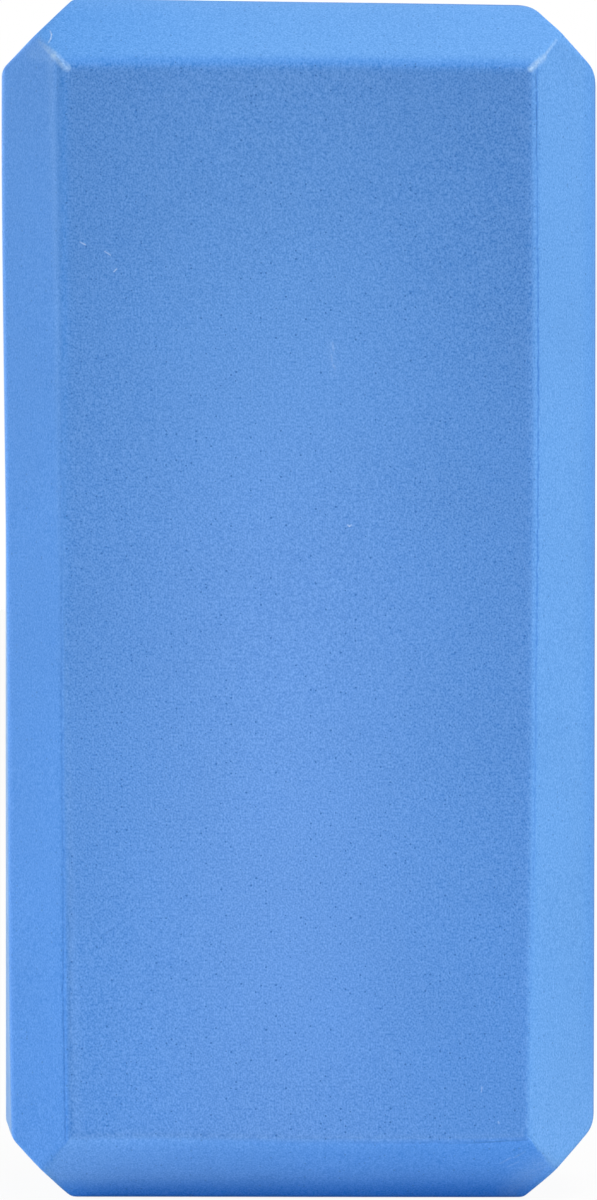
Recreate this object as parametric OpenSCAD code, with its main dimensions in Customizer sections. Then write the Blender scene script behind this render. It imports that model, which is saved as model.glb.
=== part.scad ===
// Foam yoga block: a solid brick whose twelve edges are bevelled and softly rounded.
// It stands on end, its length along Z, its large faces towards -Y and +Y,
// with the origin in the middle of the face it stands on.

/* [Block] */
// Length of the block, its height as it stands on end
block_length = 220; // [150:1:300]
// Width of the block across its large faces
block_width = 108.5; // [80:0.5:160]
// Thickness of the block from one large face to the other
block_thickness = 70; // [50:1:110]

/* [Edges] */
// Leg of the bevel cut along each edge, measured along either face
bevel_leg = 11.5; // [4:0.5:18]
// Radius of the rounding where a bevel meets a face
edge_radius = 4; // [0.5:0.1:6]

/* [Hidden] */
$fn = 96;
// Angle between a bevel and the faces on either side of it
bevel_angle = 45;
// Distance along a face from the sharp edge of a bevel to the start of its rounding
round_start = edge_radius * tan(bevel_angle / 2);
// Distance along the bevel to the other end of the rounding, measured along either face
round_step = round_start * sin(bevel_angle);
// Hair by which a bevel lies inside its roundings, so that they join without slivers
join_overlap = 0.002;

// The bevelled corner of a w by h outline that lies towards +X and +Y, anticlockwise
function corner_points(w, h) =
  let (x = w / 2, y = h / 2, inner_x = x - bevel_leg, inner_y = y - bevel_leg)
  [
    [x, inner_y - round_start],
    [x - round_step - join_overlap, inner_y + round_step],
    [inner_x + round_step, y - round_step - join_overlap],
    [inner_x - round_start, y]
  ];

// Centres of the two roundings of that corner
function round_centres(w, h) =
  let (corner = corner_points(w, h))
  [[w / 2 - edge_radius, corner[0].y], [corner[3].x, h / 2 - edge_radius]];

// A list from its last entry to its first
function reversed(list) = [for (i = [len(list) - 1 : -1 : 0]) list[i]];

// Rectangle with bevelled corners and a rounding at each end of every bevel
module rounded_outline(w, h) {
  corner = corner_points(w, h);
  polygon([
    each corner,
    each reversed([for (p = corner) [-p.x, p.y]]),
    each [for (p = corner) -p],
    each reversed([for (p = corner) [p.x, -p.y]])
  ]);
  for (side_x = [-1, 1], side_y = [-1, 1], centre = round_centres(w, h))
    translate([side_x * centre.x, side_y * centre.y])
    circle(edge_radius);
}

// The block is what three crossing prisms share, so its bevels mitre at the corners
module foam_block() {
  color("cornflowerblue")
  translate([0, 0, block_length / 2])
  intersection() {
    linear_extrude(block_length, center = true)
    rounded_outline(block_width, block_thickness);
    rotate([90, 0, 0])
    linear_extrude(block_thickness, center = true)
    rounded_outline(block_width, block_length);
    rotate([90, 0, 90])
    linear_extrude(block_width, center = true)
    rounded_outline(block_thickness, block_length);
  }
}

foam_block();
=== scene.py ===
"""Looks of a foam yoga block that stands on end: its cut, slightly uneven foam body, its mottled
closed-cell surface with two worn corners, and a plain white studio around it."""
import math

import bpy
import numpy as np
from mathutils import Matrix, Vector
from numpy.polynomial.polynomial import polyval


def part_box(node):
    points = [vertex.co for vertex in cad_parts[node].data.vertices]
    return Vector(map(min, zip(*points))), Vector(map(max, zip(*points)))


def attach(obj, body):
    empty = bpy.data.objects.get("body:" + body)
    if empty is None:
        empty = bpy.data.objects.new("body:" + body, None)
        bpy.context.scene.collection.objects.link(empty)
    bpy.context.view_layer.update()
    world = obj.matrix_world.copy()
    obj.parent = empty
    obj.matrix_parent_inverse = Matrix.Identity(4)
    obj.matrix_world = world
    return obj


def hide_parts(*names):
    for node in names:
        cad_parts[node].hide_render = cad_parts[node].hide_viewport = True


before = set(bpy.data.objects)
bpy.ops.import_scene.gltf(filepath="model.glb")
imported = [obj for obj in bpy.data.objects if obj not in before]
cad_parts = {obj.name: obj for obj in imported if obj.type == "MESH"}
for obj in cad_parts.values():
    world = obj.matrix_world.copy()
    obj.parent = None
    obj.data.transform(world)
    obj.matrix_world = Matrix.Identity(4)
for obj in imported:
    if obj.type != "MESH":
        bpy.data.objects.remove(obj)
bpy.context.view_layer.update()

MM = 0.001
X, Y, Z = 0, 1, 2

# The block's box comes from the frame. Lengths are in metres, and block coordinates are measured
# from the middle of the block
NODE = "foam_block"
LOW, HIGH = (np.array(corner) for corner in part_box(NODE))
CENTRE = (LOW + HIGH) / 2
HALF = (HIGH - LOW) / 2
BEVEL = 11.5 * MM
BEVEL_HALF_WIDTH = BEVEL / math.sqrt(2)

# Mesh grid: close together at the creases between faces and bevels, wider on the flats
FINE_STEP = 0.1 * MM
FINE_STEPS_ON_FACE = 1
FINE_STEPS_ON_BEVEL = 6
STEP_GROWTH = 1.27
FACE_STEP = 1.5 * MM
BEVEL_STEP = 1.0 * MM
CREASE_REACH = 9 * MM
SAME_POINT = 0.001 * MM

# The faces by axis, and the pairs of axes whose faces share a bevel
SIDE_NAMES = {X: ("left", "right"), Y: ("front", "back"), Z: ("bottom", "top")}
NAME_ORDER = (Y, X, Z)
BEVEL_PAIRS = ((X, Y), (Y, Z), (Z, X))

# How far the bevels stray outwards from a true cut, measured along a face. Each row holds the terms
# of a polynomial in the place along the edge, which runs from -1 to 1 in the direction of its axis
EDGE_STRAY = {
    "front_left": (0.75 * MM, 0.65 * MM, -0.35 * MM),
    "front_right": (0.0, 0.40 * MM, -0.50 * MM),
    "front_top": (0.55 * MM, -0.15 * MM, -0.50 * MM),
    "front_bottom": (0.10 * MM, 0.85 * MM, -0.50 * MM, -1.50 * MM),
    "left_top": (-0.60 * MM, 0.0, 0.0),
    "right_top": (-0.35 * MM, 0.0, 0.0),
    "left_bottom": (0.12 * MM, 2.05 * MM, 0.0),
    "right_bottom": (-1.35 * MM, 0.0, 0.0),
    "back_left": (0.2 * MM, -0.2 * MM, 0.3 * MM),
    "back_right": (-0.1 * MM, 0.2 * MM, 0.2 * MM),
    "back_top": (0.2 * MM, 0.15 * MM, -0.2 * MM),
    "back_bottom": (-0.1 * MM, 0.1 * MM, 0.2 * MM),
}
# How crisp a line the blade left where a bevel meets a large face, from 0 to 1, in the same form
CUT_LINE = {
    "front_left": (0.45, -0.90, 0.0),
    "front_right": (0.95, 0.85, -0.60),
    "front_bottom": (0.36, 0.74, -0.58),
    "back_left": (0.75, 0.2, 0.0),
    "back_right": (0.5, -0.4, 0.0),
    "back_top": (0.5, 0.4, 0.0),
    "back_bottom": (0.2, -0.1, 0.0),
}
# The rounding between a bevel and a large face where it isn't crisp, in the same form
EDGE_ROUNDING = {
    "front_left": (0.8 * MM, 0.0, 0.0),
    "front_right": (1.4 * MM, 0.0, 0.0),
    "front_top": (1.4 * MM, 0.0, 0.0),
    "front_bottom": (1.4 * MM, 0.0, 0.0),
    "back_left": (1.2 * MM, 0.0, 0.0),
    "back_right": (1.0 * MM, 0.0, 0.0),
    "back_top": (1.4 * MM, 0.0, 0.0),
    "back_bottom": (1.4 * MM, 0.0, 0.0),
}
# How far the large face rolls off before a crisp cut line, in the same form
EDGE_CURL = {
    "front_left": (0.60 * MM, 0.0, 0.0),
    "front_right": (0.60 * MM, 0.0, 0.0),
    "back_left": (0.50 * MM, 0.0, 0.0),
    "back_right": (0.50 * MM, 0.0, 0.0),
    "back_top": (0.30 * MM, 0.0, 0.0),
}
# How much painted shade, a deeper blue, the crease between a bevel and a large face has, from 0 to 1,
# in the same form
CREASE_SHADE = {
    "front_left": (0.25, 0.30, 0.0),
    "front_right": (0.15, 0.0, 0.0),
    "front_top": (0.75, 0.0, 0.0),
    "back_left": (0.3, 0.0, 0.0),
    "back_right": (0.3, 0.0, 0.0),
    "back_top": (0.5, 0.0, 0.0),
}
# How strongly the painted highlights along the edges show, from 0 to 1, and where: past the crease on
# the bevel or, below 0, before it on the large face. Both are in the same form
EDGE_HIGHLIGHT = {
    "front_left": (0.055, 0.005, 0.0, 0.020, 0.020),
    "front_right": (0.015, 0.0, 0.0),
    "front_bottom": (0.055, 0.010, 0.0),
    "back_left": (0.040, 0.0, 0.0),
    "back_right": (0.050, 0.0, 0.0),
    "back_bottom": (0.050, 0.0, 0.0),
}
EDGE_HIGHLIGHT_PLACE = {
    "front_left": (-0.05 * MM, 1.50 * MM, 0.0, 0.25 * MM, 0.25 * MM),
    "front_right": (-0.40 * MM, 0.0, 0.0),
    "front_bottom": (-0.38 * MM, 0.06 * MM, 0.0),
}
# How far the middle of a bevel stands proud, in the same form. The other bevels are flat
BEVEL_CROWN = {
    "front_top": (0.30 * MM, 0.0, 0.0),
    "front_bottom": (0.85 * MM, 0.0, 0.0),
    "back_top": (0.30 * MM, 0.0, 0.0),
    "back_bottom": (0.60 * MM, 0.0, 0.0),
    "left_bottom": (0.24 * MM, 0.0, 0.0),
}
# How much the cut lines come and go, and over what length
CUT_CHANGE_LENGTH = 25 * MM
CUT_CHANGE = 0.25

# How the flat sides lean, as terms of a polynomial along the side
LEFT_SIDE_LEAN = (-0.42 * MM, 0.89 * MM, 0.99 * MM, 0.0, -1.22 * MM)
RIGHT_SIDE_LEAN = (0.60 * MM, 0.12 * MM, -0.08 * MM)
TOP_END_LEAN = (0.35 * MM, -0.66 * MM)
LOWER_END_LEAN = (-0.17 * MM, 0.22 * MM)
# How uneven the foam and the blade's cuts are: the height and the length of their waves
FACE_WAVE = 0.05 * MM
FACE_WAVE_LENGTH = 60 * MM
BEVEL_WAVE = 0.10 * MM
BEVEL_WAVE_LENGTH = 40 * MM
BLADE_WAVE = 0.05 * MM
BLADE_WAVE_LENGTH = 8 * MM
WAVE_COUNT = 5
WAVE_LENGTH_SPREAD = (0.7, 1.4)

# Rounding of the other edges: a crisply cut one, the mitre between two bevels, the sides and ends
CRISP_ROUNDING = 0.35 * MM
MITRE_ROUNDING = 0.5 * MM
LEFT_SIDE_ROUNDING = 0.9 * MM
RIGHT_SIDE_ROUNDING = 1.7 * MM
TOP_END_ROUNDING = (1.3 * MM, 0.6 * MM)
LOWER_END_ROUNDING = (0.6 * MM, -0.1 * MM)
# Reach of the roll before a cut line, and how far from a crease its distance is still kept
EDGE_CURL_REACH = 1.10 * MM
FAR_FROM_CREASE = 3 * MM
# Where the bevels' colour starts, and the bands of painted highlight and painted shade along the
# creases
BEVEL_MASK_WIDTH = 0.8 * MM
SOFT_MASK_SHIFT = 0.40 * MM
CRISP_MASK_SHIFT = 0.15 * MM
EDGE_HIGHLIGHT_WIDTH = 0.6 * MM
CREASE_WIDTH = 0.75 * MM
CREASE_SHIFT = 0.35 * MM
# The painted highlight on the large faces: its middle and its reach
HIGHLIGHT_X = -4 * MM
HIGHLIGHT_Z = -30 * MM
HIGHLIGHT_HALF_WIDTH = 28 * MM
HIGHLIGHT_HALF_LENGTH = 115 * MM
# How the mesh is fitted to the foam: in how many rounds, and the step that measures the slope
FIT_ROUNDS = 8
SLOPE_STEP = 0.002 * MM

# Foam colours, as light reflected, some with painted light and shade in them. The pairs are for the
# two ends of a bevel
FACE_BLUE = (0.091, 0.251, 0.614)
# Painted light: the flat faces are paler towards their lower end
LOW_FACE_BLUE = (0.093, 0.266, 0.662)
# Painted highlight: the paler blues in the middle of the large faces, lower down and higher up
HIGHLIGHT_BLUE = (0.126, 0.298, 0.690)
UPPER_HIGHLIGHT_BLUE = (0.134, 0.329, 0.738)
# Painted sheen: the left side's paler blue, for the paleness it shows at a flat angle
LEFT_SIDE_BLUE = (0.108, 0.300, 0.660)
BEVEL_BLUE = (0.137, 0.359, 0.780)
# Painted shade: a deeper blue along the right rim of the bevels
RIGHT_RIM_BLUE = (0.116, 0.336, 0.775)
# Painted light: the bevels are paler near the lower end, which shows on the right bevel
LOW_RIGHT_BLUE = (0.158, 0.391, 0.819)
# Painted shade: the top bevel is a deeper blue towards its left end
TOP_LEFT_BLUE = (0.108, 0.322, 0.755)
# Painted shade: the left bevel's deeper blues, from its lower to its upper end
LEFT_BEVEL_BLUES = ((0.103, 0.315, 0.808), (0.115, 0.320, 0.775))
# Painted light and shade along the lower bevel, from its left to its right end
LOWER_BEVEL_BLUES = ((0.146, 0.360, 0.806), (0.092, 0.319, 0.842))
# Painted shade: the lower bevel's deep blue rim by the floor
LOW_RIM_BLUE = (0.045, 0.290, 0.900)
# Painted shade in the creases between the bevels and the large faces
CREASE_SHADE_BLUE = (0.088, 0.290, 0.745)
PORE_BLUE = (0.042, 0.165, 0.490)
CUT_BLUE = (0.040, 0.185, 0.620)
# Pale worn foam for the worn corners, and also the colour of the painted highlights along the edges
# and the top rim
WEAR_AND_HIGHLIGHT_BLUE = (0.450, 0.670, 0.950)
FUZZ_WHITE = (0.930, 1.000, 1.000)
LINT_WHITE = (0.620, 0.740, 0.900)

# Where the painted light and shade on a bevel or a face change: stretches of it, and rims along its
# outer edge
TOP_LEFT_BLUE_FROM = -50 * MM
TOP_LEFT_BLUE_TO = 0
LOW_RIGHT_HEIGHT = 45 * MM
UPPER_HIGHLIGHT_CHANGE = 60 * MM
LOW_RIM = 5 * MM
RIGHT_RIM = 3 * MM
# Painted highlight along the top rim of the bevels: its reach and strength
HIGH_RIM = 2.5 * MM
HIGH_RIM_HIGHLIGHT = 0.05

# Foam texture, in millimetres: the grain and how it changes the colour, soft clouds, and pores.
# A noise lies about its middle, and its detail is the number of finer layers
NOISE_MIDDLE = 0.5
NOISE_DETAIL = 2
GRAIN_SCALE = 3.2
GRAIN_DETAIL = 0
GRAIN_STRETCH = 0.85
GRAIN_GAIN = 9
GRAIN_CHANGE = (0.0183, 0.0250, 0.0277)
BEVEL_GRAIN = 0.85
CLOUD_SCALE = 0.045
CLOUD_CHANGE = 0.05
PORE_SCALE = 1.1
PORE_CELLS = (0.5, 1.0)
PORE_RADIUS = 0.25
PORE_EDGE = 0.08
BEVEL_PORES = 0.45

# Cut lines, in millimetres: their width, how they wander and how they break up
CUT_HALF_WIDTH = 0.24
WIGGLE_SCALE = 0.35
WIGGLE = 0.28
DASH_SCALE = 0.9
DASH_NOISE = (0.38, 0.58)
DASH_LEAST = 0.40

# How the foam takes the light: its grain's range and roughness, its relief, its shine, and the fuzz
# of its left side, which shows at a flat angle
GRAIN_RANGE = (0.3, 0.7)
ROUGHNESS = (0.70, 0.88)
GRAIN_RELIEF = 0.6
BUMP_STRENGTH = 0.35
BUMP_DEPTH = 0.15 * MM
SHINE = 0.15
LEFT_SIDE_FUZZ = 0.45
FUZZ_ROUGHNESS = 0.3

# How the worn marks crumble, in millimetres
CRUMB_SCALE = 2.2
CRUMB_NOISE = (0.40, 0.60)
CRUMB_LEAST = 0.45

# Marks on the front as seen from there: worn foam, pale lint and scuffs, and dark fine lines. Each has
# the X and Z where it starts and ends, in millimetres from the middle of the lower end, half its
# width, and how strongly it shows at its start and its end
WORN_MARKS = (
    ((-47.6, 212.4), (-44.9, 209.7), 1.00, 0.25, 0.55),
    ((-44.9, 209.7), (-42.7, 207.4), 1.15, 0.55, 0.78),
    ((46.9, 212.8), (44.4, 209.6), 0.42, 0.45, 0.60),
    ((44.4, 209.6), (42.0, 207.4), 0.95, 0.65, 0.90),
    ((-48.6, 210.4), (-45.6, 209.4), 2.20, 0.14, 0.12),
    ((39.0, 1.5), (44.0, 6.5), 4.00, 0.17, 0.17),
)
LINT_MARKS = (
    ((-45.69, 214.42), (-45.44, 213.69), 0.20, 0.30, 0.45),
    ((-45.44, 213.69), (-45.58, 212.87), 0.20, 0.45, 0.45),
    ((-45.58, 212.87), (-45.99, 212.15), 0.20, 0.45, 0.35),
    ((-40.3, 175.7), (-39.3, 175.2), 0.20, 0.25, 0.60),
    ((-35.8, 174.0), (-34.7, 173.3), 0.18, 0.40, 0.40),
    ((-34.1, 170.3), (-33.6, 170.8), 0.20, 0.50, 0.45),
    ((5.7, 156.9), (6.0, 151.5), 1.40, 0.03, 0.02),
    ((5.75, 157.4), (5.95, 156.0), 0.30, 0.10, 0.10),
    ((5.55, 155.1), (5.65, 154.0), 0.30, 0.10, 0.10),
    ((5.85, 153.4), (6.20, 152.7), 0.30, 0.12, 0.12),
    ((8.50, 124.15), (8.85, 123.90), 0.22, 0.30, 0.45),
    ((8.85, 123.90), (9.20, 124.15), 0.22, 0.45, 0.30),
    ((33.1, 21.4), (33.0, 20.5), 0.20, 0.28, 0.28),
    ((36.1, 15.0), (36.2, 14.8), 0.25, 0.32, 0.32),
    ((36.7, 7.1), (38.5, 8.2), 0.30, 0.10, 0.14),
    ((39.1, 8.2), (41.1, 9.4), 0.30, 0.12, 0.08),
    ((38.0, 6.4), (40.0, 7.4), 0.25, 0.08, 0.10),
)
DARK_MARKS = (
    ((-35.6, 49.7), (-34.1, 50.6), 0.25, 0.45, 0.25),
    ((42.85, 206.4), (42.97, 203.9), 0.22, 0.40, 0.60),
    ((42.97, 203.2), (42.95, 201.4), 0.22, 0.55, 0.50),
    ((42.97, 200.8), (43.12, 198.2), 0.22, 0.65, 0.65),
    ((43.10, 197.7), (43.02, 194.9), 0.22, 0.60, 0.45),
    ((43.02, 194.2), (43.02, 190.6), 0.20, 0.45, 0.15),
    ((26.9, 10.98), (32.7, 11.17), 0.20, 0.10, 0.40),
    ((32.7, 11.17), (36.4, 11.42), 0.20, 0.40, 0.45),
    ((36.4, 11.42), (41.4, 11.64), 0.20, 0.45, 0.20),
)

# Camera, fitted to the photograph's outline. Its frame is the photograph's, in pixels
PHOTO_HEIGHT = 1200
SENSOR = 36
CAMERA_DISTANCE = 1.4
CAMERA_AZIMUTH = math.radians(1.9)
CAMERA_ELEVATION = math.radians(0.96)
CAMERA_FOCAL_PIXELS = 7481
CAMERA_AIM_OFFSET = Vector((0.71 * MM, 0, -0.13 * MM))

# Lamps: place, size of the soft panel in metres, power in watts and colour. All face the block
LAMPS = {
    "right": ((1.20, -0.55, 0.35), 0.8, 6.15, (1.0, 1.0, 1.0)),
    "top": ((0.25, -0.35, 1.40), 0.8, 16.0, (1.0, 1.0, 1.0)),
    "left": ((-1.20, -0.55, 0.25), 0.8, 3.2, (0.92, 0.98, 1.0)),
    "front": ((-0.02, -0.30, 0.06), 0.08, 0.278, (1.0, 1.0, 1.0)),
    "rear_left": ((-1.10, 0.70, 0.25), 0.8, 22.0, (1.0, 1.0, 1.0)),
    "rear_right": ((1.10, 0.75, 0.35), 0.8, 5.0, (1.0, 1.0, 1.0)),
    "back": ((0.10, 1.50, 0.50), 0.8, 2.0, (1.0, 1.0, 1.0)),
}

# The white studio: its light from all round, and a pale floor that looks white to the camera
AMBIENT = (0.05, 0.05, 0.05)
WHITE = (1.0, 1.0, 1.0)
FLOOR_HALF = 6.0
FLOOR_GAP = 0.05 * MM
FLOOR_PALE = (0.62, 0.62, 0.62)
FLOOR_ROUGHNESS = 0.9
FLOOR_GLOW_SHARE = 0.95


def graded(length, fine_steps, largest):
    """Distances from 0 to length, first in fine steps and then in steps that grow to the largest"""
    marks = [0.0]
    while marks[-1] < length:
        growths = max(0, len(marks) - fine_steps)
        marks.append(marks[-1] + min(largest, FINE_STEP * STEP_GROWTH ** growths))
    return np.array(marks) * (length / marks[-1])


def grid_lines(half):
    """Grid lines along one axis, from the middle of one bevel to the middle of the other"""
    crease = half - BEVEL
    inner = crease - graded(crease, FINE_STEPS_ON_FACE, FACE_STEP)
    outer = crease + graded(BEVEL / 2, FINE_STEPS_ON_BEVEL, BEVEL_STEP)
    positive = np.concatenate([inner[::-1], outer[1:]])
    return np.concatenate([-positive[:0:-1], positive])


def edge_values(table, axes, points):
    """Each point's value on its own edge, out of the four edges between the faces of two axes"""
    run = X + Y + Z - sum(axes)
    along = points[:, run] / HALF[run]
    values = np.zeros(len(points))
    for sides in ((0, 0), (0, 1), (1, 0), (1, 1)):
        side_of = dict(zip(axes, sides))
        name = "_".join(SIDE_NAMES[axis][side_of[axis]] for axis in NAME_ORDER if axis in side_of)
        here = np.all([(points[:, axis] > 0) == side for axis, side in side_of.items()], axis=0)
        values[here] = polyval(along[here], table.get(name, (0, 0, 0)))
    return values


def patch(axis, side):
    """Points and faces of one side of the sharp block, with the near half of its four bevels. The
    points follow the bevels as they stray, so that grid lines stay on the creases and mitres"""
    u, v = (axis + 1) % 3, (axis + 2) % 3
    grid_u, grid_v = np.meshgrid(grid_lines(HALF[u]), grid_lines(HALF[v]), indexing="ij")
    past_u = np.abs(grid_u) - (HALF[u] - BEVEL)
    past_v = np.abs(grid_v) - (HALF[v] - BEVEL)
    drop = np.maximum(0, np.maximum(past_u, past_v))
    true_points = np.empty(grid_u.shape + (3,))
    true_points[..., u] = grid_u
    true_points[..., v] = grid_v
    true_points[..., axis] = side * (HALF[axis] - drop)

    flat_points = true_points.reshape(-1, 3)
    stray_u = edge_values(EDGE_STRAY, (axis, u), flat_points).reshape(drop.shape)
    stray_v = edge_values(EDGE_STRAY, (axis, v), flat_points).reshape(drop.shape)
    stray_uv = edge_values(EDGE_STRAY, (u, v), flat_points).reshape(drop.shape)
    near_u = np.clip(1 - (drop - past_u) / CREASE_REACH, 0, 1)
    near_v = np.clip(1 - (drop - past_v) / CREASE_REACH, 0, 1)
    half_down = drop / BEVEL
    near_both = near_u * near_v * half_down
    move_u = near_u * stray_u * (1 - half_down) + near_both * (stray_uv - stray_v)
    move_v = near_v * stray_v * (1 - half_down) + near_both * (stray_uv - stray_u)
    move_out = half_down * (near_u * stray_u + near_v * stray_v) - near_both * stray_uv
    strayed = true_points.copy()
    strayed[..., u] += np.sign(grid_u) * move_u
    strayed[..., v] += np.sign(grid_v) * move_v
    strayed[..., axis] += side * move_out

    index = np.arange(drop.size).reshape(drop.shape)
    quads = np.stack([index[:-1, :-1], index[1:, :-1], index[1:, 1:], index[:-1, 1:]], -1)
    cell_u = (past_u[:-1, :-1] + past_u[1:, 1:]) / 2
    cell_v = (past_v[:-1, :-1] + past_v[1:, 1:]) / 2
    on_mitre = (cell_u > 0) & (cell_v > 0) & (np.abs(cell_u - cell_v) < FINE_STEP / 2)
    rising = (grid_u[:-1, :-1] > 0) == (grid_v[:-1, :-1] > 0)
    up, down = quads[on_mitre & rising], quads[on_mitre & ~rising]
    faces = quads[~on_mitre].tolist()
    for corners in (up[:, [0, 1, 2]], up[:, [0, 2, 3]], down[:, [0, 1, 3]], down[:, [1, 2, 3]]):
        faces += corners.tolist()
    return flat_points, strayed.reshape(-1, 3), [face[::side] for face in faces]


def sharp_block():
    """Points and faces of the whole bevelled block, its six patches joined, before rounding"""
    true_points, strayed, faces = [], [], []
    count = 0
    for axis in (X, Y, Z):
        for side in (-1, 1):
            patch_true, patch_strayed, patch_faces = patch(axis, side)
            true_points.append(patch_true)
            strayed.append(patch_strayed)
            faces += [[count + i for i in face] for face in patch_faces]
            count += len(patch_true)
    keys = np.round(np.concatenate(true_points) / SAME_POINT).astype(int)
    _, first, number = np.unique(keys, axis=0, return_index=True, return_inverse=True)
    number = number.reshape(-1)
    return np.concatenate(strayed)[first], [[int(number[i]) for i in face] for face in faces]


def waves(points, length, seed):
    """A soft unevenness between -1 and 1 that changes over about the given length"""
    rng = np.random.default_rng(seed)
    total = np.zeros(len(points))
    for _ in range(WAVE_COUNT):
        direction = rng.normal(size=3)
        turns = points @ (direction / np.linalg.norm(direction))
        turns = turns / (length * rng.uniform(*WAVE_LENGTH_SPREAD))
        total += np.sin(2 * np.pi * (turns + rng.uniform()))
    return total / WAVE_COUNT


def smooth_max(first, second, blend):
    """The larger of two distances, with the corner between them rounded"""
    near = np.maximum(blend - np.abs(first - second), 0)
    return np.maximum(first, second) + near ** 2 / (4 * blend)


def face_distances(points):
    """Distances outwards from the six flat sides, the nearer one of each pair, by axis"""
    place = points / HALF
    frontness = 0.5 - points[:, Y] / (2 * (HALF[Y] - BEVEL))
    left_lean = polyval(place[:, Z], LEFT_SIDE_LEAN) * frontness
    right_lean = polyval(place[:, Z], RIGHT_SIDE_LEAN)
    lean = np.zeros_like(points)
    lean[:, X] = np.where(points[:, X] < 0, left_lean, right_lean)
    lean[:, Z] = np.where(points[:, Z] > 0, polyval(place[:, X], TOP_END_LEAN),
                          polyval(place[:, X], LOWER_END_LEAN))
    wave = FACE_WAVE * (1 + waves(points, FACE_WAVE_LENGTH, seed=1))
    return np.abs(points) - HALF - lean + wave[:, None]


def bevel_distances(points):
    """Distances outwards from the bevels, the nearest one of each set of four"""
    wave = (BEVEL_WAVE * waves(points, BEVEL_WAVE_LENGTH, seed=2)
            + BLADE_WAVE * waves(points, BLADE_WAVE_LENGTH, seed=4))
    distances = []
    for axes in BEVEL_PAIRS:
        reach = [np.abs(points[:, axis]) - HALF[axis] for axis in axes]
        stray = edge_values(EDGE_STRAY, axes, points)
        across = (reach[0] - reach[1]) / math.sqrt(2) / BEVEL_HALF_WIDTH
        crown = edge_values(BEVEL_CROWN, axes, points) * np.maximum(0, 1 - across ** 2)
        distances.append((reach[0] + reach[1] + BEVEL - stray) / math.sqrt(2) - crown - wave)
    return distances


def crease_values(table, points, beside):
    """Each point's value on the nearest edge of a large face: beside it, or else above or below"""
    return np.where(beside, edge_values(table, (X, Y), points), edge_values(table, (Y, Z), points))


def foam_surface(points):
    """Distance outwards from the finished foam, with masks of its bevels and cut lines, and of the
    painted shade and highlights on its creases and faces
    """
    faces = face_distances(points)
    across_x, across_z, ends = bevel_distances(points)
    bevel = smooth_max(smooth_max(across_x, across_z, MITRE_ROUNDING), ends, MITRE_ROUNDING)

    beside = across_x > across_z
    cut = np.clip(crease_values(CUT_LINE, points, beside), 0, 1)
    cut = cut * (1 - CUT_CHANGE + CUT_CHANGE * waves(points, CUT_CHANGE_LENGTH, seed=3))
    curl = np.clip(1 + (bevel - faces[:, Y]) / EDGE_CURL_REACH, 0, 1) ** 2
    large_face = faces[:, Y] + crease_values(EDGE_CURL, points, beside) * cut * curl
    rounding = crease_values(EDGE_ROUNDING, points, beside) * (1 - cut) + CRISP_ROUNDING * cut
    past_crease = bevel - large_face
    # Mask of the painted shade along the creases
    crease = (np.clip(crease_values(CREASE_SHADE, points, beside), 0, 1)
              * np.exp(-((past_crease + CREASE_SHIFT) / CREASE_WIDTH) ** 2))
    # Mask of the painted highlights along the edges
    past_highlight = past_crease - crease_values(EDGE_HIGHLIGHT_PLACE, points, beside)
    edge_highlight = crease_values(EDGE_HIGHLIGHT, points, beside) * np.exp(-(past_highlight / EDGE_HIGHLIGHT_WIDTH) ** 2)

    place_x = points[:, X] / HALF[X]
    side_rounding = np.where(place_x > 0, RIGHT_SIDE_ROUNDING, LEFT_SIDE_ROUNDING)
    end_rounding = np.where(points[:, Z] > 0, polyval(place_x, TOP_END_ROUNDING),
                            polyval(place_x, LOWER_END_ROUNDING))
    distance = smooth_max(bevel, large_face, rounding)
    distance = smooth_max(distance, faces[:, X], side_rounding)
    distance = smooth_max(distance, faces[:, Z], end_rounding)
    mask_shift = SOFT_MASK_SHIFT + (CRISP_MASK_SHIFT - SOFT_MASK_SHIFT) * cut
    past_face = bevel - faces.max(axis=1) + mask_shift
    bevel_mask = np.clip(0.5 + past_face / BEVEL_MASK_WIDTH, 0, 1)
    past_edge = 0.5 + (faces[:, X] - bevel) / BEVEL_MASK_WIDTH
    left_side = np.where(points[:, X] < 0, np.clip(past_edge, 0, 1), 0)
    left_mask = (points[:, X] < 0) & (across_x > np.maximum(across_z, ends))
    lower_mask = (points[:, Z] < 0) & (across_z > np.maximum(across_x, ends))
    # Mask of the painted highlight in the middle of the large faces
    face_highlight = np.exp(-((points[:, X] - HIGHLIGHT_X) / HIGHLIGHT_HALF_WIDTH) ** 2
                    - ((points[:, Z] - HIGHLIGHT_Z) / HIGHLIGHT_HALF_LENGTH) ** 2)
    past_crease = np.clip(past_crease, -FAR_FROM_CREASE, FAR_FROM_CREASE) / MM
    masks = {"bevel": bevel_mask, "left_bevel": left_mask, "lower_bevel": lower_mask,
             "left_side": left_side, "crease": crease, "edge_highlight": edge_highlight, "cut": cut,
             "past_crease": past_crease, "face_highlight": face_highlight}
    return distance, masks


def fit_to_foam(points):
    """The points moved onto the finished foam, each along the slope of the distance from it"""
    for _ in range(FIT_ROUNDS):
        distance = foam_surface(points)[0]
        slope = np.empty_like(points)
        for axis in (X, Y, Z):
            step = np.zeros(3)
            step[axis] = SLOPE_STEP
            rise = foam_surface(points + step)[0] - foam_surface(points - step)[0]
            slope[:, axis] = rise / (2 * SLOPE_STEP)
        points = points - slope * (distance / (slope ** 2).sum(axis=1))[:, None]
    return points


def add_attribute(mesh, name, values):
    """A number for each point of the mesh, which its material reads"""
    attribute = mesh.attributes.new(name, "FLOAT", "POINT")
    attribute.data.foreach_set("value", values.astype(np.float32))


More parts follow.
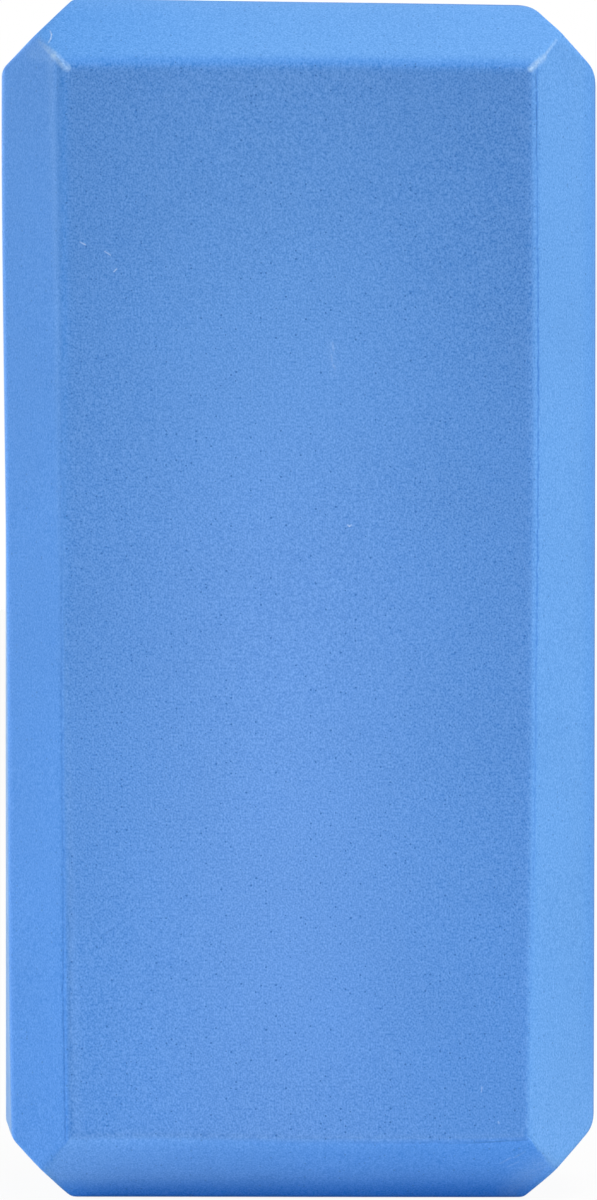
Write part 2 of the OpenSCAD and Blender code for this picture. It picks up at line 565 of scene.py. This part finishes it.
def make_block():
    """The foam block as one closed mesh"""
    points, faces = sharp_block()
    points = fit_to_foam(points)
    masks = foam_surface(points)[1]
    mesh = bpy.data.meshes.new("yoga_block_foam")
    mesh.from_pydata((points + CENTRE).tolist(), [], faces)
    for name, values in masks.items():
        add_attribute(mesh, name, values)
    mesh.shade_smooth()
    mesh.validate()
    block = bpy.data.objects.new("yoga_block_foam", mesh)
    bpy.context.scene.collection.objects.link(block)
    return block


def add_node(tree, kind, inputs=None, **settings):
    """A node with its settings, whose sockets are given a value or linked to another socket"""
    node = tree.nodes.new(kind)
    for name, value in settings.items():
        setattr(node, name, value)
    for socket, value in (inputs or {}).items():
        if isinstance(value, bpy.types.NodeSocket):
            tree.links.new(value, node.inputs[socket])
        else:
            node.inputs[socket].default_value = value
    return node


def add_math(tree, operation, *values):
    """The result of arithmetic on numbers"""
    return add_node(tree, "ShaderNodeMath", dict(enumerate(values)), operation=operation).outputs[0]


def add_vector_math(tree, operation, *values):
    """A node for arithmetic on vectors, whose result is a vector or a number"""
    return add_node(tree, "ShaderNodeVectorMath", dict(enumerate(values)), operation=operation)


def add_scaled(tree, vector, factor):
    """A vector or colour times a number"""
    sockets = {0: vector, "Scale": factor}
    return add_node(tree, "ShaderNodeVectorMath", sockets, operation="SCALE").outputs["Vector"]


def add_range(tree, value, from_low, from_high, to_low, to_high, smooth=False):
    """A value moved from one range to another, held at its ends"""
    kind = "SMOOTHSTEP" if smooth else "LINEAR"
    limits = dict(enumerate((value, from_low, from_high, to_low, to_high)))
    return add_node(tree, "ShaderNodeMapRange", limits, interpolation_type=kind).outputs[0]


def add_mix(tree, share, first, second):
    """A mix of two colours"""
    colours = [colour if isinstance(colour, bpy.types.NodeSocket) else (*colour, 1)
               for colour in (first, second)]
    sockets = {0: share, 6: colours[0], 7: colours[1]}
    return add_node(tree, "ShaderNodeMix", sockets, data_type="RGBA").outputs[2]


def add_noise(tree, place, scale, detail):
    """A soft random pattern between 0 and 1"""
    inputs = {"Vector": place, "Scale": scale, "Detail": detail}
    return add_node(tree, "ShaderNodeTexNoise", inputs).outputs["Fac"]


def add_attribute_node(tree, name):
    """The mesh's number of that name, at each point"""
    return add_node(tree, "ShaderNodeAttribute", attribute_name=name).outputs["Fac"]


def add_mark(tree, front_view, mark):
    """Mask of a soft thin mark along a line on the front"""
    (start_x, start_z), (end_x, end_z), half_width, start_strength, end_strength = mark
    start = (start_x, 0, start_z)
    along = Vector((end_x - start_x, 0, end_z - start_z))
    away = add_vector_math(tree, "SUBTRACT", front_view, start).outputs["Vector"]
    share = add_vector_math(tree, "DOT_PRODUCT", away, along / along.length_squared).outputs["Value"]
    share = add_range(tree, share, 0, 1, 0, 1)
    nearest = add_scaled(tree, along, share)
    gap = add_vector_math(tree, "DISTANCE", away, nearest).outputs["Value"]
    strength = add_range(tree, share, 0, 1, start_strength, end_strength)
    return add_math(tree, "MULTIPLY", strength, add_range(tree, gap, 0, half_width, 1, 0, smooth=True))


def face_colour(tree, axes, left_side):
    """Colour of the flat faces, with painted light: deeper above, a painted highlight in the middle,
    and a left side painted paler for its sheen at a flat angle
    """
    low_face = add_range(tree, axes["Z"], LOW[Z], CENTRE[Z], 1, 0, smooth=True)
    change_end = CENTRE[Z] + UPPER_HIGHLIGHT_CHANGE
    high_face = add_range(tree, axes["Z"], CENTRE[Z], change_end, 0, 1, smooth=True)
    highlight_colour = add_mix(tree, high_face, HIGHLIGHT_BLUE, UPPER_HIGHLIGHT_BLUE)
    # Painted light: paler towards the lower end
    colour = add_mix(tree, low_face, FACE_BLUE, LOW_FACE_BLUE)
    # Painted highlight in the middle of the faces
    colour = add_mix(tree, add_attribute_node(tree, "face_highlight"), colour, highlight_colour)
    # Painted sheen: the left side is paler
    return add_mix(tree, left_side, colour, LEFT_SIDE_BLUE)


def bevel_colour(tree, axes):
    """Colour of the bevels, with painted light and shade that change along them and towards their
    outer rims
    """
    upwards = add_range(tree, axes["Z"], LOW[Z], HIGH[Z], 0, 1)
    rightwards = add_range(tree, axes["X"], LOW[X], HIGH[X], 0, 1)
    past_left = add_range(tree, axes["X"], TOP_LEFT_BLUE_FROM, TOP_LEFT_BLUE_TO, 0, 1, smooth=True)
    low_right = add_range(tree, axes["Z"], LOW[Z], LOW[Z] + LOW_RIGHT_HEIGHT, 1, 0, smooth=True)
    low_rim = add_range(tree, axes["Z"], LOW[Z], LOW[Z] + LOW_RIM, 1, 0, smooth=True)
    right_rim = add_range(tree, axes["X"], HIGH[X] - RIGHT_RIM, HIGH[X], 0, 1, smooth=True)
    rim_start = HIGH[Z] - HIGH_RIM
    high_rim = add_range(tree, axes["Z"], rim_start, HIGH[Z], 0, HIGH_RIM_HIGHLIGHT, smooth=True)
    # Painted light and shade: the left and lower bevels' own blues and the lower rim
    left_colour = add_mix(tree, upwards, *LEFT_BEVEL_BLUES)
    lower_colour = add_mix(tree, rightwards, *LOWER_BEVEL_BLUES)
    lower_colour = add_mix(tree, low_rim, lower_colour, LOW_RIM_BLUE)
    colour = add_mix(tree, past_left, TOP_LEFT_BLUE, BEVEL_BLUE)
    # Painted shade along the right rim
    colour = add_mix(tree, right_rim, colour, RIGHT_RIM_BLUE)
    colour = add_mix(tree, low_right, colour, LOW_RIGHT_BLUE)
    # Painted highlight along the top rim
    colour = add_mix(tree, high_rim, colour, WEAR_AND_HIGHLIGHT_BLUE)
    colour = add_mix(tree, add_attribute_node(tree, "left_bevel"), colour, left_colour)
    return add_mix(tree, add_attribute_node(tree, "lower_bevel"), colour, lower_colour)


def pore_mask(tree, place, bevel):
    """Mask of scattered pores of different sizes, fainter on the bevels"""
    cells = add_node(tree, "ShaderNodeTexVoronoi", {"Vector": place, "Scale": PORE_SCALE})
    cell_size = add_node(tree, "ShaderNodeSeparateColor", {0: cells.outputs["Color"]}).outputs[0]
    radius = add_range(tree, cell_size, *PORE_CELLS, 0, PORE_RADIUS * PORE_SCALE)
    depth = add_math(tree, "SUBTRACT", radius, cells.outputs["Distance"])
    pores = add_range(tree, depth, 0, PORE_EDGE * PORE_SCALE, 0, 1, smooth=True)
    return add_math(tree, "MULTIPLY", pores, add_range(tree, bevel, 0, 1, 1, BEVEL_PORES))


def cut_line_mask(tree, place):
    """Mask of the blade's fine lines along the creases, which wander and break up"""
    wander = add_noise(tree, place, WIGGLE_SCALE, NOISE_DETAIL)
    wiggle = add_range(tree, wander, 0, 1, -WIGGLE, WIGGLE)
    past_line = add_math(tree, "ADD", add_attribute_node(tree, "past_crease"), wiggle)
    gap = add_math(tree, "ABSOLUTE", past_line)
    line = add_range(tree, gap, 0, CUT_HALF_WIDTH, 1, 0, smooth=True)
    line = add_math(tree, "MULTIPLY", line, add_attribute_node(tree, "cut"))
    breaks = add_noise(tree, place, DASH_SCALE, NOISE_DETAIL)
    return add_math(tree, "MULTIPLY", line, add_range(tree, breaks, *DASH_NOISE, DASH_LEAST, 1))


def add_marks(tree, colour, axes, place):
    """The colour with the front's worn corners, its lint and scuffs, and its dark fine lines"""
    behind = add_range(tree, axes["Y"], CENTRE[Y] - HALF[Y] / 2, CENTRE[Y], 0, HALF[Y] / MM)
    sides = add_node(tree, "ShaderNodeSeparateXYZ", {0: place}).outputs
    parts = {0: sides["X"], 1: behind, 2: sides["Z"]}
    front_view = add_node(tree, "ShaderNodeCombineXYZ", parts).outputs[0]
    crumbling = add_noise(tree, place, CRUMB_SCALE, NOISE_DETAIL)
    crumbs = add_range(tree, crumbling, *CRUMB_NOISE, CRUMB_LEAST, 1)
    for mark in WORN_MARKS:
        worn = add_math(tree, "MULTIPLY", add_mark(tree, front_view, mark), crumbs)
        colour = add_mix(tree, worn, colour, WEAR_AND_HIGHLIGHT_BLUE)
    for mark in LINT_MARKS:
        colour = add_mix(tree, add_mark(tree, front_view, mark), colour, LINT_WHITE)
    for mark in DARK_MARKS:
        colour = add_mix(tree, add_mark(tree, front_view, mark), colour, PORE_BLUE)
    return colour


def foam_material():
    """Closed-cell foam: fine mottling, scattered pores, cut lines, worn corners and lint, with painted
    light and shade along its creases, rims and faces
    """
    material = bpy.data.materials.new("blue_foam")
    material.use_nodes = True
    tree = material.node_tree
    metres = add_node(tree, "ShaderNodeTexCoord").outputs["Object"]
    place = add_scaled(tree, metres, 1 / MM)
    axes = add_node(tree, "ShaderNodeSeparateXYZ", {0: metres}).outputs
    bevel = add_attribute_node(tree, "bevel")
    left_side = add_attribute_node(tree, "left_side")
    stretched = add_vector_math(tree, "MULTIPLY", place, (1, 1, GRAIN_STRETCH)).outputs["Vector"]
    grain = add_noise(tree, stretched, GRAIN_SCALE, GRAIN_DETAIL)
    cloud = add_noise(tree, place, CLOUD_SCALE, NOISE_DETAIL)
    pores = pore_mask(tree, place, bevel)

    colour = add_mix(tree, bevel, face_colour(tree, axes, left_side), bevel_colour(tree, axes))
    # Painted shade in the creases
    colour = add_mix(tree, add_attribute_node(tree, "crease"), colour, CREASE_SHADE_BLUE)
    # Painted highlights along the edges
    colour = add_mix(tree, add_attribute_node(tree, "edge_highlight"), colour, WEAR_AND_HIGHLIGHT_BLUE)
    shade = add_range(tree, cloud, 0, 1, 1 - CLOUD_CHANGE, 1 + CLOUD_CHANGE)
    colour = add_scaled(tree, colour, shade)
    gain = add_range(tree, bevel, 0, 1, GRAIN_GAIN, GRAIN_GAIN * BEVEL_GRAIN)
    spread = add_math(tree, "MULTIPLY", add_math(tree, "SUBTRACT", grain, NOISE_MIDDLE), gain)
    colour = add_vector_math(tree, "MULTIPLY_ADD", spread, GRAIN_CHANGE, colour).outputs["Vector"]
    colour = add_mix(tree, pores, colour, PORE_BLUE)
    colour = add_mix(tree, cut_line_mask(tree, place), colour, CUT_BLUE)
    colour = add_marks(tree, colour, axes, place)

    roughness = add_range(tree, grain, *GRAIN_RANGE, *ROUGHNESS)
    relief = add_math(tree, "SUBTRACT", add_math(tree, "MULTIPLY", grain, GRAIN_RELIEF), pores)
    bump = add_node(tree, "ShaderNodeBump",
                    {"Height": relief, "Strength": BUMP_STRENGTH, "Distance": BUMP_DEPTH})
    fuzz = add_math(tree, "MULTIPLY", left_side, LEFT_SIDE_FUZZ)
    shader = tree.nodes["Principled BSDF"]
    tree.links.new(colour, shader.inputs["Base Color"])
    tree.links.new(roughness, shader.inputs["Roughness"])
    tree.links.new(bump.outputs["Normal"], shader.inputs["Normal"])
    tree.links.new(fuzz, shader.inputs["Sheen Weight"])
    shader.inputs["Sheen Roughness"].default_value = FUZZ_ROUGHNESS
    shader.inputs["Sheen Tint"].default_value = (*FUZZ_WHITE, 1)
    shader.inputs["Specular IOR Level"].default_value = SHINE
    return material


def background_rays(tree):
    """1 for the rays that see the background itself: from the camera, reflected or refracted"""
    paths = add_node(tree, "ShaderNodeLightPath").outputs
    seen = add_math(tree, "MAXIMUM", paths["Is Camera Ray"], paths["Is Glossy Ray"])
    return add_math(tree, "MAXIMUM", seen, paths["Is Transmission Ray"])


def make_world():
    """Soft light from all round, with a white background"""
    world = bpy.data.worlds.new("white_studio")
    bpy.context.scene.world = world
    world.use_nodes = True
    tree = world.node_tree
    colour = add_mix(tree, background_rays(tree), AMBIENT, WHITE)
    background = tree.nodes["Background"]
    tree.links.new(colour, background.inputs["Color"])
    background.inputs["Strength"].default_value = 1


def make_floor():
    """A pale floor that reads as white and keeps the block's soft shadow"""
    mesh = bpy.data.meshes.new("studio_floor")
    low, high = -FLOOR_HALF, FLOOR_HALF
    level = LOW[Z] - FLOOR_GAP
    corners = [(low, low, level), (high, low, level), (high, high, level), (low, high, level)]
    mesh.from_pydata(corners, [], [(0, 1, 2, 3)])
    floor = bpy.data.objects.new("studio_floor", mesh)
    bpy.context.scene.collection.objects.link(floor)
    material = bpy.data.materials.new("pale_floor")
    material.use_nodes = True
    tree = material.node_tree
    shader = tree.nodes["Principled BSDF"]
    shader.inputs["Base Color"].default_value = (*FLOOR_PALE, 1)
    shader.inputs["Roughness"].default_value = FLOOR_ROUGHNESS
    shader.inputs["Specular IOR Level"].default_value = 0.0
    glow = add_node(tree, "ShaderNodeEmission", {"Color": (*WHITE, 1), "Strength": 1.0})
    share = add_math(tree, "MULTIPLY", background_rays(tree), FLOOR_GLOW_SHARE)
    mix = add_node(tree, "ShaderNodeMixShader",
                   {0: share, 1: shader.outputs["BSDF"], 2: glow.outputs["Emission"]})
    tree.links.new(mix.outputs["Shader"], tree.nodes["Material Output"].inputs["Surface"])
    mesh.materials.append(material)


def look_at(thing, target):
    """Turns a lamp or camera to face a point"""
    thing.rotation_euler = (Vector(target) - thing.location).to_track_quat("-Z", "Y").to_euler()


def make_lamps():
    """Soft panels round the block, which the camera doesn't see"""
    for name, (place, size, power, colour) in LAMPS.items():
        light = bpy.data.lights.new(name, "AREA")
        light.shape = "SQUARE"
        light.size = size
        light.energy = power
        light.color = colour
        lamp = bpy.data.objects.new(name, light)
        lamp.location = place
        lamp.visible_camera = False
        bpy.context.scene.collection.objects.link(lamp)
        look_at(lamp, CENTRE)


def make_camera():
    """The photograph's view: a long lens, a little to the left of the block and a little above"""
    data = bpy.data.cameras.new("photo_camera")
    data.sensor_width = SENSOR
    data.lens = SENSOR * CAMERA_FOCAL_PIXELS / PHOTO_HEIGHT
    camera = bpy.data.objects.new("photo_camera", data)
    target = Vector(CENTRE) + CAMERA_AIM_OFFSET
    level = math.cos(CAMERA_ELEVATION)
    direction = Vector((-math.sin(CAMERA_AZIMUTH) * level, -math.cos(CAMERA_AZIMUTH) * level,
                        math.sin(CAMERA_ELEVATION)))
    camera.location = target + CAMERA_DISTANCE * direction
    look_at(camera, target)
    bpy.context.scene.collection.objects.link(camera)
    bpy.context.scene.camera = camera


block = make_block()
block.data.materials.append(foam_material())
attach(block, "root")
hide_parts(NODE)

make_world()
make_floor()
make_lamps()
make_camera()
bpy.context.scene.view_settings.view_transform = "Standard"
